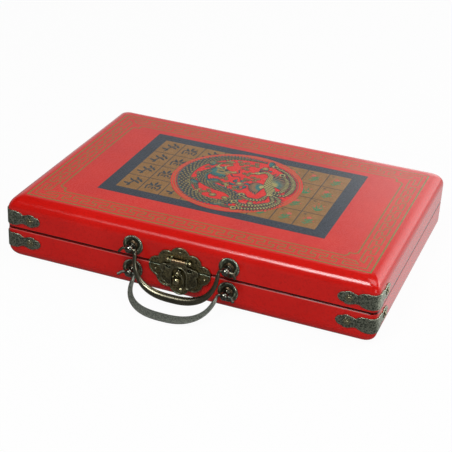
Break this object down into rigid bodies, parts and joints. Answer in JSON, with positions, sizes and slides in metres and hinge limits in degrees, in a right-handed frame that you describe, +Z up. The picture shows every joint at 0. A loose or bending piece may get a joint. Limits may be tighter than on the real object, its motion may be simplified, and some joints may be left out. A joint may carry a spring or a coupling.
{
  "type": "mahjong case",
  "caption": "Flat hinged game-tile case in red leather with a printed lid, bronze corner brackets, a hasp latch with a turn hook and two bail handles.",
  "frame": {"origin": "centre of the underside, on the table", "axes": "+Z up, +X to the right along the long side, -Y out of the front with the latch and handles"},
  "size_m": [0.3446, 0.2799, 0.0593],
  "materials": {
    "red_leather": "fine-grained red",
    "wood": "bare",
    "lining": "napped dark red",
    "bronze": "antique bronze, darkened in the recesses",
    "bronze_nail": "antique bronze",
    "bronze_rosette": "dark antique bronze",
    "bronze_turned": "worn antique bronze",
    "bronze_bail": "rubbed antique bronze",
    "bronze_hinge": "antique bronze"
  },
  "bodies": {
    "base": {"base_board_front": "wood", "base_board_back": "wood", "base_board_left": "wood", "base_board_right": "wood", "base_panel": "wood", "base_leather": "red_leather", "base_lining": "lining", "base_bracket_front_left": "bronze", "base_bracket_front_right": "bronze", "base_bracket_nails": "bronze_nail", "base_rosette_left": "bronze_rosette", "base_rosette_right": "bronze_rosette", "base_post_left": "bronze_turned", "base_post_right": "bronze_turned", "base_latch_plate": "bronze", "base_latch_nails": "bronze_turned", "base_hinge_leaf_left": "bronze_hinge", "base_hinge_leaf_right": "bronze_hinge", "base_hinge_screws": "bronze_hinge", "base_underside_sheet": "red_leather", "hook_rivet": "bronze_turned", "staple_post": "bronze_turned", "latch_stud": "bronze_turned", "hinge_pin_left": "bronze_hinge", "hinge_pin_right": "bronze_hinge"},
    "lid": {"lid_board_front": "wood", "lid_board_back": "wood", "lid_board_left": "wood", "lid_board_right": "wood", "lid_panel": "wood", "lid_leather": "red_leather", "lid_lining": "lining", "lid_bracket_front_left": "bronze", "lid_bracket_front_right": "bronze", "lid_bracket_nails": "bronze_nail", "lid_rosette_left": "bronze_rosette", "lid_rosette_right": "bronze_rosette", "lid_post_left": "bronze_turned", "lid_post_right": "bronze_turned", "lid_latch_plate": "bronze", "lid_latch_nails": "bronze_turned", "lid_hinge_leaf_left": "bronze_hinge", "lid_hinge_leaf_right": "bronze_hinge", "lid_hinge_screws": "bronze_hinge", "hasp_pin": "bronze_turned"},
    "lid_bail": {"lid_bail": "bronze_bail"},
    "base_bail": {"base_bail": "bronze_bail"},
    "hasp": {"hasp_flap": "bronze"},
    "turn_hook": {"turn_hook": "bronze"}
  },
  "joints": [
    {"name": "lid_hinge", "type": "hinge", "parent": "base", "child": "lid", "pos_m": [0, 0.1199, 0.0306], "axis": [-1, 0, 0], "range_deg": [0, 180]},
    {"name": "lid_bail_pivot", "type": "hinge", "parent": "lid", "child": "lid_bail", "pos_m": [-0.0021, -0.1243, 0.0421], "axis": [-1, 0, 0], "range_deg": [-15, 85]},
    {"name": "base_bail_pivot", "type": "hinge", "parent": "base", "child": "base_bail", "pos_m": [-0.0021, -0.1243, 0.019], "axis": [-1, 0, 0], "range_deg": [-60, 44]},
    {"name": "hasp_hinge", "type": "hinge", "parent": "lid", "child": "hasp", "pos_m": [-0.0021, -0.1199, 0.0384], "axis": [-1, 0, 0], "range_deg": [0, 150]},
    {"name": "turn_hook_pivot", "type": "hinge", "parent": "base", "child": "turn_hook", "pos_m": [-0.0021, -0.1203, 0.028], "axis": [0, -1, 0], "range_deg": [0, 28]}
  ]
}
